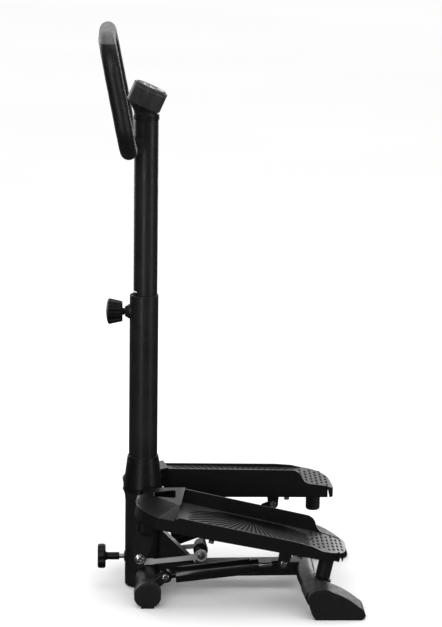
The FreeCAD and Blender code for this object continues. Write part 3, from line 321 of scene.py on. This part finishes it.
# ---- mesh helpers --------------------------------------------------------------------------------------
def add_piece(name, mesh_data, material, body, matrix=None, sharp_deg=35):
    """Turn a bmesh into an object that rides on a body; edges sharper than sharp_deg stay crisp."""
    if matrix is not None:
        bmesh.ops.transform(mesh_data, matrix=matrix, verts=mesh_data.verts)
    bmesh.ops.recalc_face_normals(mesh_data, faces=mesh_data.faces)
    for face in mesh_data.faces:
        face.smooth = True
    for edge in mesh_data.edges:
        edge.smooth = len(edge.link_faces) == 2 and edge.calc_face_angle(0) < math.radians(sharp_deg)
    mesh = bpy.data.meshes.new(name)
    mesh_data.to_mesh(mesh)
    mesh_data.free()
    mesh.materials.append(material)
    piece = bpy.data.objects.new(name, mesh)
    bpy.context.scene.collection.objects.link(piece)
    if body:
        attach(piece, body)
    return piece


def across(direction):
    """Two unit vectors square to a direction and to each other."""
    helper = Y_AXIS if abs(direction.dot(Y_AXIS)) < 0.9 else X_AXIS
    first = direction.cross(helper).normalized()
    return first, direction.cross(first).normalized()


def join_rings(mesh_data, rings, closed=False, caps=True):
    """Skin a list of vertex rings with quads."""
    count = len(rings[0])
    pairs = list(zip(rings, rings[1:]))
    if closed:
        pairs.append((rings[-1], rings[0]))
    for lower, upper in pairs:
        for index in range(count):
            after = (index + 1) % count
            mesh_data.faces.new((lower[index], lower[after], upper[after], upper[index]))
    if caps and not closed:
        mesh_data.faces.new(list(reversed(rings[0])))
        mesh_data.faces.new(rings[-1])


def turned(mesh_data, profile, centre, axis, segments=48, closed=False):
    """Revolve (radius, height) points in millimetres round an axis through centre."""
    side, other = across(axis)
    rings = []
    for radius, height in profile:
        ring = []
        for index in range(segments):
            angle = 2 * math.pi * index / segments
            offset = side * math.cos(angle) + other * math.sin(angle)
            ring.append(mesh_data.verts.new(centre + axis * height * MM + offset * radius * MM))
        rings.append(ring)
    join_rings(mesh_data, rings, closed)


def swept(mesh_data, points, radius_at, segments=12, closed=False):
    """Round tube along points; radius_at(index, angle) gives its radius in millimetres."""
    rings = []
    last = len(points) - 1
    guide = None
    for index, point in enumerate(points):
        ahead = points[(index + 1) % len(points)] if closed else points[min(index + 1, last)]
        behind = points[index - 1] if closed or index else points[0]
        tangent = (ahead - behind).normalized()
        guide = across(tangent)[0] if guide is None else (guide - tangent * guide.dot(tangent)).normalized()
        other = tangent.cross(guide)
        ring = []
        for step in range(segments):
            angle = 2 * math.pi * step / segments
            reach = radius_at(index, angle) * MM
            ring.append(mesh_data.verts.new(point + (guide * math.cos(angle) + other * math.sin(angle)) * reach))
        rings.append(ring)
    join_rings(mesh_data, rings, closed)


def ridge(mesh_data, points, base_half, top_half, height, up):
    """Low ridge with sloping flanks and ends along points that lie on a surface."""
    rings = []
    last = len(points) - 1
    for index, point in enumerate(points):
        tangent = (points[min(index + 1, last)] - points[max(index - 1, 0)]).normalized()
        side = tangent.cross(up).normalized() * MM
        rise = height * (0.25 if index in (0, last) else 1.0) * MM
        ring = [point - side * base_half - up * 0.3 * MM, point + side * base_half - up * 0.3 * MM,
                point + side * top_half + up * rise, point - side * top_half + up * rise]
        rings.append([mesh_data.verts.new(corner) for corner in ring])
    join_rings(mesh_data, rings)


def slab(mesh_data, centre, axes, half_sizes):
    """Box from its centre, three axes and half sizes in millimetres."""
    corners = {}
    for i in (-1, 1):
        for j in (-1, 1):
            for k in (-1, 1):
                offset = axes[0] * i * half_sizes[0] + axes[1] * j * half_sizes[1] + axes[2] * k * half_sizes[2]
                corners[i, j, k] = mesh_data.verts.new(centre + offset * MM)
    for fixed in range(3):
        for sign in (-1, 1):
            loop = []
            for u, v in ((-1, -1), (1, -1), (1, 1), (-1, 1)):
                key = [u, v]
                key.insert(fixed, sign)
                loop.append(corners[tuple(key)])
            mesh_data.faces.new(loop)


# ---- handlebar grips -----------------------------------------------------------------------------------
def loop_points():
    """Centre line of the handlebar from one side of its clamp to the other, from the tube's own box."""
    low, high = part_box("handlebar_tube")
    radius = HANDLE_TUBE_R * MM
    bottom = Vector((high.x - radius, 0, low.z + radius))
    top = Vector((low.x + radius, 0, high.z - radius))
    up = (top - bottom).normalized()
    rise = (top - bottom).length
    half = high.y - radius
    corner = HANDLE_CORNER * MM
    flat = [(GRIP_GAP_HALF * MM + 0.0005, 0.0)]
    corners = ((half - corner, corner, -90), (half - corner, rise - corner, 0),
               (corner - half, rise - corner, 90), (corner - half, corner, 180))
    previous = flat[0]
    for y, z, start in corners:
        turn = [(y + corner * math.cos(math.radians(start + step)),
                 z + corner * math.sin(math.radians(start + step))) for step in range(0, 91, 6)]
        flat += straight_run(previous, turn[0])[1:-1] + turn
        previous = turn[-1]
    flat += straight_run(previous, (-GRIP_GAP_HALF * MM - 0.0005, 0.0))[1:]
    return [bottom + Y_AXIS * y + up * z for y, z in flat]


def straight_run(start, end, step=0.007):
    """Points a fixed step apart on a straight line, both ends included."""
    length = math.hypot(end[0] - start[0], end[1] - start[1])
    count = max(2, round(length / step))
    return [(start[0] + (end[0] - start[0]) * i / count, start[1] + (end[1] - start[1]) * i / count)
            for i in range(count + 1)]


def grips():
    """Foam sleeve round the loop: soft ends at the clamp, slight waves, and a grey zone at the top."""
    points = loop_points()
    last = len(points) - 1

    def radius_at(index, angle):
        end = min(index, last - index)
        tuck = {0: 2.6, 1: 0.7}.get(end, 0.0)
        wave = 0.12 * math.sin(index * 0.9 + 1.3 * math.sin(angle * 2)) + 0.08 * math.sin(index * 0.31 + angle)
        return GRIP_R - 0.2 - tuck + wave

    whole = bmesh.new()
    swept(whole, points, radius_at, 40)
    bar_half = node_middle("top_grip").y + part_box("handlebar_tube")[1].y - (HANDLE_TUBE_R + HANDLE_CORNER) * MM
    cuts = ((Vector((0, 0, GREY_FROM_Z)), Z_AXIS), (Vector((0, bar_half, 0)), Y_AXIS),
            (Vector((0, -bar_half, 0)), Y_AXIS))
    for origin, normal in cuts:
        geometry = list(whole.verts) + list(whole.edges) + list(whole.faces)
        bmesh.ops.bisect_plane(whole, geom=geometry, plane_co=origin, plane_no=normal)
    top_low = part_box("top_grip")[0].z - 0.01
    for name, want_grey, material in (("foam_sleeve", False, BLACK_FOAM), ("top_foam_sleeve", True, GREY_FOAM)):
        part = whole.copy()
        unwanted = []
        for face in part.faces:
            centre = face.calc_center_median()
            is_grey = centre.z > GREY_FROM_Z or (abs(centre.y) < bar_half and centre.z > top_low)
            if is_grey != want_grey:
                unwanted.append(face)
        bmesh.ops.delete(part, geom=unwanted, context="FACES")
        node, slot = ("top_grip", "grey_foam") if want_grey else ("foam_grip", "black_foam")
        piece = add_piece(name, part, material, "mast", sharp_deg=60)
        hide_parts(node)
    whole.free()


# ---- treads --------------------------------------------------------------------------------------------
TREAD_LINE = ((54, 212), (360, 206), (380, 204), (402, 200), (420, 194))
TREAD_UP = Vector((0.0196, 0, 1)).normalized()


def tread_z(x):
    """Height of the raised tread's top at x, in millimetres."""
    for (x0, z0), (x1, z1) in zip(TREAD_LINE, TREAD_LINE[1:]):
        if x <= x1:
            return z0 + (z1 - z0) * (x - x0) / (x1 - x0)
    return TREAD_LINE[-1][1]


def on_tread(x, y):
    return at(x, y, tread_z(x))


def inside_tread(x, y, margin=5):
    """True on the flat of the tread, clear of its walls and of the rounded outer corner."""
    if not (60 <= x <= 402 and 57 <= y <= 179 - margin):
        return False
    corner_x, corner_y = 352, 128
    if x > corner_x and y > corner_y:
        return ((x - corner_x) / 52) ** 2 + ((y - corner_y) / 54) ** 2 < 0.86
    return True


def fan_ribs(mesh_data):
    """Curved ribs that fan outwards across the middle of the tread."""
    for step in range(-15, 16):
        spread = math.tan(math.radians(step * 4.2))
        points = []
        for index in range(25):
            y = 60 + 114 * index / 24
            x = 208 + (y - 6) * spread * (0.55 + 0.45 * index / 24)
            if 62 < x < 330 and inside_tread(x, y):
                points.append(on_tread(x, y))
        if len(points) > 4:
            ridge(mesh_data, points, 1.9, 1.3, 0.9, TREAD_UP)


def grip_bars(mesh_data):
    """Short low bars in staggered rows behind the fan."""
    pitch_x, pitch_y, length = 10.5, 21, 12
    for row in range(8):
        x = 332 + row * pitch_x
        for column in range(7):
            y = 58 + column * pitch_y + (pitch_y / 2 if row % 2 else 0)
            if inside_tread(x, y) and inside_tread(x, y + length):
                points = [on_tread(x, y + length * step / 4) for step in range(5)]
                ridge(mesh_data, points, 2.6, 1.9, 0.9, TREAD_UP)


def tread_texture():
    for side, matrix in SIDES.items():
        ribs = bmesh.new()
        fan_ribs(ribs)
        grip_bars(ribs)
        add_piece(f"{side}_tread_ribs", ribs, RIB_PLASTIC, f"{side}_pedal", matrix, 50)


# ---- screws, nuts and welds ----------------------------------------------------------------------------
def screw_face(mesh_data, centre, axis, radius, dome=1.0, slot_half=0.8):
    """Four dome quarters round a cross slot, laid on a screw's head."""
    side, other = across(axis)
    for a in (-1, 1):
        for b in (-1, 1):
            rings = []
            for share, height in ((1.0, -0.2), (0.97, dome * 0.45), (0.7, dome * 0.85), (0.3, dome)):
                ring = []
                for step in range(9):
                    angle = math.radians(90 * step / 8)
                    u = max(slot_half, radius * share * math.cos(angle))
                    v = max(slot_half, radius * share * math.sin(angle))
                    ring.append(mesh_data.verts.new(centre + (side * a * u + other * b * v + axis * height) * MM))
                ring.append(mesh_data.verts.new(
                    centre + (side * a * slot_half + other * b * slot_half + axis * height) * MM))
                rings.append(ring)
            join_rings(mesh_data, rings)


def hex_nut(mesh_data, centre, axis, half_flats, height, bolt_r):
    """Chamfered hexagon nut with a domed stub of thread."""
    corner = half_flats / math.cos(math.radians(30))
    turned(mesh_data, [(half_flats * 0.96, -0.1), (corner, 0.6), (corner, height - 0.7), (half_flats * 0.96, height)],
           centre, axis, 6)
    thread = [(bolt_r + (0.25 if step % 2 else 0.0), height + 0.35 * step) for step in range(7)]
    turned(mesh_data, [(bolt_r, 0.1)] + thread + [(bolt_r * 0.6, thread[-1][1] + 0.4)], centre, axis, 20)


def bead(mesh_data, points, radius=1.7, closed=True):
    """Weld bead with the ripples that a hand weld leaves."""
    swept(mesh_data, points, lambda index, angle: radius * (1 + 0.13 * math.cos(index * math.pi / 2)), 8, closed)


def outward(axis_sign):
    return Y_AXIS * axis_sign


def fasteners():
    """Bright fastener faces that the plain CAD pins don't show."""
    pin_x, pin_z = 46.3, 56.0
    fixed = bmesh.new()
    for sign in (-1, 1):
        screw_face(fixed, at(pin_x, sign * 131.5, pin_z), outward(sign), 6.2)
        screw_face(fixed, at(-7, sign * 58.8, 72), outward(sign), 6.4, 1.2)
    add_piece("base_screw_faces", fixed, CHROME, "base", sharp_deg=25)

    for side, matrix in SIDES.items():
        upper = bmesh.new()
        screw_face(upper, at(283, 129.5, 145.5), Y_AXIS, 6.2)
        screw_face(upper, at(120, 174, 174), -Z_AXIS, 4.6, 0.8)
        screw_face(upper, at(306, 172, 179), -Z_AXIS, 4.6, 0.8)
        screw_face(upper, at(120, 63.5, 169), -Z_AXIS, 4.6, 0.8)
        screw_face(upper, at(309, 63.5, 169), -Z_AXIS, 4.6, 0.8)
        add_piece(f"{side}_pedal_screw_faces", upper, CHROME, f"{side}_pedal", matrix, 25)

    nuts = bmesh.new()
    for sign in (-1, 1):
        hex_nut(nuts, at(123, sign * 40.4, 75.5), outward(sign), 7.6, 4.6, 4.0)
        hex_nut(nuts, at(pin_x, sign * 104.3, pin_z), -outward(sign), 7.4, 4.2, 4.6)
    add_piece("base_nuts", nuts, ZINC, "base", sharp_deg=25)


def damper_covers():
    """Thick glossy cover with a smaller end cap over each damper's tube."""
    profile = [(7.5, 21), (15.2, 21), (16.2, 21.5), (16.6, 22.6), (16.6, 177.2), (16.2, 178.4), (15.2, 179),
               (14.3, 179.2), (14.3, 183.9), (12.95, 183.9), (12.95, 25.8), (7.5, 25.8)]
    lower_pin = (46.3, 116, 56)
    for sign, (side, matrix) in zip((1, -1), SIDES.items()):
        foot = at(lower_pin[0], sign * lower_pin[1], lower_pin[2])
        axis = (matrix @ at(283, 116, 145.5) - foot).normalized()
        cover = bmesh.new()
        turned(cover, profile, foot, axis, 64, True)
        add_piece(f"{side}_damper_cover", cover, DAMPER_BLACK, f"{side}_damper")


def weld_beads():
    """Beads where the base's tubes meet."""
    beads = bmesh.new()
    for sign in (-1, 1):
        stub = []
        for step in range(72):
            angle = 2 * math.pi * step / 72
            x, z = 9 + 25.6 * math.cos(angle), 28 + 25.6 * math.sin(angle)
            stub.append(at(x, sign * (math.sqrt(POST_R ** 2 - x * x) + 0.6), z))
        bead(beads, stub, 1.9)
        boss = []
        for step in range(48):
            angle = 2 * math.pi * step / 48
            x, z = -7 + 12.4 * math.cos(angle), 72 + 12.4 * math.sin(angle)
            boss.append(at(x, sign * (math.sqrt(POST_R ** 2 - x * x) + 0.3), z))
        bead(beads, boss, 1.0)
    nut = []
    for step in range(48):
        angle = 2 * math.pi * step / 48
        y = 10.4 * math.cos(angle)
        nut.append(at(-math.sqrt(POST_R ** 2 - y * y) - 0.3, y, 62 + 10.4 * math.sin(angle)))
    bead(beads, nut, 1.2)
    add_piece("base_welds", beads, BLACK_STEEL, "base", sharp_deg=70)


# ---- mast details --------------------------------------------------------------------------------------
def collar_seam():
    seam = bmesh.new()
    turned(seam, [(33.6, 272.7), (34.5, 272.9), (34.4, 274.1), (33.5, 274.3)], at(-1, 0, 0), Z_AXIS, 96, True)
    add_piece("collar_seam", seam, BLACK_PLASTIC, "base")


def mast_lip():
    """Rounded lip of the liner on the lower mast tube's mouth."""
    lip = bmesh.new()
    turned(lip, [(29.6, 627.9), (30.2, 628.6), (30.0, 630.0), (28.6, 630.6), (27.4, 630.0), (27.1, 627.9)],
           at(-1, 0, 0), Z_AXIS, 96, True)
    add_piece("liner_lip", lip, BLACK_PLASTIC, "base")


def height_tick():
    """Short painted height mark on the front of the sliding tube."""
    tick = bmesh.new()
    rings = []
    for step in range(9):
        angle = math.radians(187 + 4.5 * step)
        ring = []
        for radius, z in ((25.0, 637), (25.12, 637), (25.12, 640), (25.0, 640)):
            ring.append(tick.verts.new(at(MAST_X + radius * math.cos(angle), radius * math.sin(angle), z)))
        rings.append(ring)
    join_rings(tick, rings)
    add_piece("height_tick", tick, TICK_WHITE, "mast")


# ---- console -------------------------------------------------------------------------------------------
CONSOLE_UP = -Vector(JOINTS["button_press"]["axis"]).normalized()
CONSOLE_BACK = Y_AXIS.cross(CONSOLE_UP).normalized()
CONSOLE_HEIGHT = 41.0
CONSOLE_FOOT = node_middle("console_housing") - CONSOLE_UP * (CONSOLE_HEIGHT / 2 * MM)
CONSOLE_AXES = (CONSOLE_BACK, Y_AXIS, CONSOLE_UP)


def on_console(x, y, height):
    """Point on the tilted console: x towards the user, y to the right, height above its foot."""
    return CONSOLE_FOOT + (CONSOLE_BACK * x + Y_AXIS * y + CONSOLE_UP * height) * MM


def console_rings():
    """Parting groove round the shell and a fine ribbed ring at the neck's foot."""
    groove = bmesh.new()
    turned(groove, [(36.2, 35.2), (36.95, 35.4), (36.95, 36.2), (36.2, 36.4)], CONSOLE_FOOT, CONSOLE_UP, 96, True)
    turned(groove, [(31.6, 42.4), (32.3, 42.9), (31.9, 43.2), (31.0, 43.0)], CONSOLE_FOOT, CONSOLE_UP, 96, True)
    add_piece("console_rings", groove, SEAM_GREY, "mast")

    ribs = bmesh.new()
    neck_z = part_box("inner_tube")[1].z / MM
    for step in range(72):
        angle = 2 * math.pi * step / 72
        direction = Vector((math.cos(angle), math.sin(angle), 0))
        side = Z_AXIS.cross(direction)
        slab(ribs, at(MAST_X, 0, neck_z + 5.5) + direction * 25.9 * MM, (direction, side, Z_AXIS), (0.45, 0.55, 4.8))
    add_piece("neck_ribs", ribs, BLACK_PLASTIC, "mast")


SEGMENTS = {"top": (0, 1, True), "middle": (0, 0, True), "bottom": (0, -1, True),
            "upper_left": (-1, 0.5, False), "upper_right": (1, 0.5, False),
            "lower_left": (-1, -0.5, False), "lower_right": (1, -0.5, False)}


def digit(mesh_data, centre_x, centre_y, lit, half_width=2.3, half_height=4.0):
    """Seven-segment digit lying on the display; its top points away from the user."""
    for name, (across_share, up_share, level) in SEGMENTS.items():
        if name not in lit:
            continue
        y = centre_y + across_share * half_width
        x = centre_x - up_share * half_height
        sizes = (0.35, half_width * 0.8, 0.1) if level else (half_height * 0.42, 0.35, 0.1)
        slab(mesh_data, on_console(x, y, CONSOLE_HEIGHT + 1.05), CONSOLE_AXES, sizes)


def display():
    """Pale display with a zero reading and a row of plain bars, behind the window's surface."""
    panel = bmesh.new()
    slab(panel, on_console(-6, 0, CONSOLE_HEIGHT + 0.92), CONSOLE_AXES, (11.5, 18.5, 0.06))
    add_piece("display_panel", panel, LCD_PALE, "mast")
    marks = bmesh.new()
    zero = set(SEGMENTS) - {"middle"}
    for y in (-10.5, -3.5, 4.5, 11.5):
        digit(marks, -8, y, zero)
    for y in (-12, -6, 0, 6, 12):
        slab(marks, on_console(1.5, y, CONSOLE_HEIGHT + 1.05), CONSOLE_AXES, (0.8, 2.2, 0.1))
    add_piece("display_marks", marks, LCD_DARK, "mast")


# ---- rope ----------------------------------------------------------------------------------------------
ROPE_R = 2.0


def strand_rope(name, node, start, end):
    """Six wires twisted round a straight line between two points."""
    axis = end - start
    length = axis.length
    axis.normalize()
    side, other = across(axis)
    wires = bmesh.new()
    steps = max(24, int(length / MM * 1.6))
    wire_r = ROPE_R / 3
    for wire in range(6):
        points = []
        for step in range(steps + 1):
            along = length * step / steps
            angle = 2 * math.pi * (wire / 6 + along / 0.016)
            points.append(start + axis * along
                          + (side * math.cos(angle) + other * math.sin(angle)) * (ROPE_R - wire_r) * MM)
        swept(wires, points, lambda index, angle: wire_r, 6)
    swept(wires, [start, end], lambda index, angle: wire_r, 6)
    piece = add_piece(name, wires, ROPE_STEEL, None, sharp_deg=80)
    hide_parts(node)
    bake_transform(piece)


def rope():
    """The rope's strands up to the pedals, and its run through the frame."""
    wheel = Vector(JOINTS["right_wheel_turn"]["pos_m"])
    line_r, leave = 13.5 * MM, math.radians(16)
    for sign, side in ((1, "right"), (-1, "left")):
        start = wheel + Vector((line_r * math.cos(leave), sign * 6 * MM, line_r * math.sin(leave)))
        lug = SIDES[side] @ at(105, 45.5, 166)
        run = (lug - start).normalized()
        strand_rope(f"{side}_rope_strands", f"{side}_rope", start + run * 0.5 * MM, lug - run * 6.5 * MM)
    loop_mesh = NODES["rope_loop"].data.copy()
    loop_mesh.materials.clear()
    loop_mesh.materials.append(ROPE_STEEL)
    loop = bpy.data.objects.new("rope_run", loop_mesh)
    bpy.context.scene.collection.objects.link(loop)
    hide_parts("rope_loop")
    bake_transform(loop)


# ---- set -----------------------------------------------------------------------------------------------
def floor():
    """Matt pale floor; glossy rays from the object pass it, so that the paint stays dark."""
    bpy.ops.mesh.primitive_plane_add(size=60)
    plane = bpy.context.object
    plane.name = "floor"
    plane.visible_glossy = False
    surface = Surface("floor", 0.9)
    surface.colour(surface.noise(0.4, 2), grey(0.97), grey(0.99))
    surface.shader.inputs["Specular IOR Level"].default_value = 0.0
    plane.data.materials.append(surface.material)


def softbox(name, centre, target, size, power):
    data = bpy.data.lights.new(name, "AREA")
    data.shape = "RECTANGLE"
    data.size, data.size_y = size
    data.energy = power
    light = bpy.data.objects.new(name, data)
    light.location = centre
    light.rotation_euler = (Vector(target) - Vector(centre)).to_track_quat("-Z", "Y").to_euler()
    bpy.context.scene.collection.objects.link(light)


SIDE_GLOW = 0.03
SKY_GLOW = 0.22


def world_light():
    """White for the camera and for diffuse light; mirrored, dark below, dim all round and bright behind."""
    world = bpy.data.worlds.new("studio")
    bpy.context.scene.world = world
    world.cycles.sampling_method = "NONE"
    world.use_nodes = True
    nodes, links = world.node_tree.nodes, world.node_tree.links
    background = nodes["Background"]
    background.inputs["Color"].default_value = (1, 1, 1, 1)
    axes = nodes.new("ShaderNodeSeparateXYZ")
    links.new(nodes.new("ShaderNodeTexCoord").outputs["Generated"], axes.inputs[0])

    def ramp(source, start, end, low, high):
        remap = nodes.new("ShaderNodeMapRange")
        for socket, number in zip(remap.inputs[1:5], (start, end, low, high)):
            socket.default_value = number
        links.new(source, remap.inputs[0])
        return remap.outputs[0]

    def combine(operation, first, second):
        maths = nodes.new("ShaderNodeMath")
        maths.operation = operation
        links.new(first, maths.inputs[0])
        links.new(second, maths.inputs[1])
        return maths.outputs[0]

    behind = ramp(axes.outputs["Y"], 0.55, 0.92, 0.0, 1.0)
    low_sky = ramp(axes.outputs["Z"], 0.0, 0.06, 0.0, 1.0)
    all_round = ramp(axes.outputs["Z"], 0.08, 0.3, SIDE_GLOW, SKY_GLOW)
    mirrored = combine("MAXIMUM", combine("MULTIPLY", behind, low_sky), all_round)
    path = nodes.new("ShaderNodeLightPath")
    not_glossy = ramp(path.outputs["Is Glossy Ray"], 0.0, 1.0, 1.0, 0.0)
    links.new(combine("MAXIMUM", mirrored, not_glossy), background.inputs["Strength"])


def lighting():
    """Surroundings, two tall strips for the tubes' highlights and a soft light from above."""
    world_light()
    softbox("high_strip", (-0.3, -3.4, 2.9), (0, 0, 0.1), (3.2, 0.35), 16)
    softbox("left_strip", (-1.5, -3.6, 1.1), (-0.15, 0, 0.6), (0.7, 3.0), 30)
    softbox("right_strip", (3.3, -2.2, 1.0), (0.0, 0, 0.5), (0.6, 2.6), 24)
    softbox("rear_left_strip", (-2.4, 3.0, 1.2), (0, 0, 0.5), (0.6, 2.4), 20)
    softbox("rear_right_strip", (1.7, 3.6, 1.2), (0, 0, 0.5), (0.6, 2.4), 20)
    softbox("top", (0.1, 0.9, 3.2), (0, 0, 0.3), (2.4, 1.6), 18)
    bpy.context.scene.view_settings.view_transform = "Standard"


def camera():
    """Camera at the photograph's angle: nearly side on, a little above, with a long lens."""
    yaw, pitch, roll = (math.radians(angle) for angle in (2.44, 12.1, 0.8))
    forward = Vector((math.sin(yaw) * math.cos(pitch), math.cos(yaw) * math.cos(pitch), -math.sin(pitch)))
    level = Vector((math.cos(yaw), -math.sin(yaw), 0))
    down = forward.cross(level)
    right = level * math.cos(roll) - down * math.sin(roll)
    up = -(level * math.sin(roll) + down * math.cos(roll))
    data = bpy.data.cameras.new("camera")
    data.sensor_width = 36
    data.lens = 135.5
    data.clip_end = 100
    viewer = bpy.data.objects.new("camera", data)
    rotation = Matrix((right, up, -forward)).transposed()
    viewer.matrix_world = Matrix.Translation((-0.22592, -4.80959, 1.62267)) @ rotation.to_4x4()
    bpy.context.scene.collection.objects.link(viewer)
    bpy.context.scene.camera = viewer


camera()
paint_nodes()
grips()
tread_texture()
fasteners()
damper_covers()
weld_beads()
collar_seam()
mast_lip()
height_tick()
console_rings()
display()
rope()
floor()
lighting()
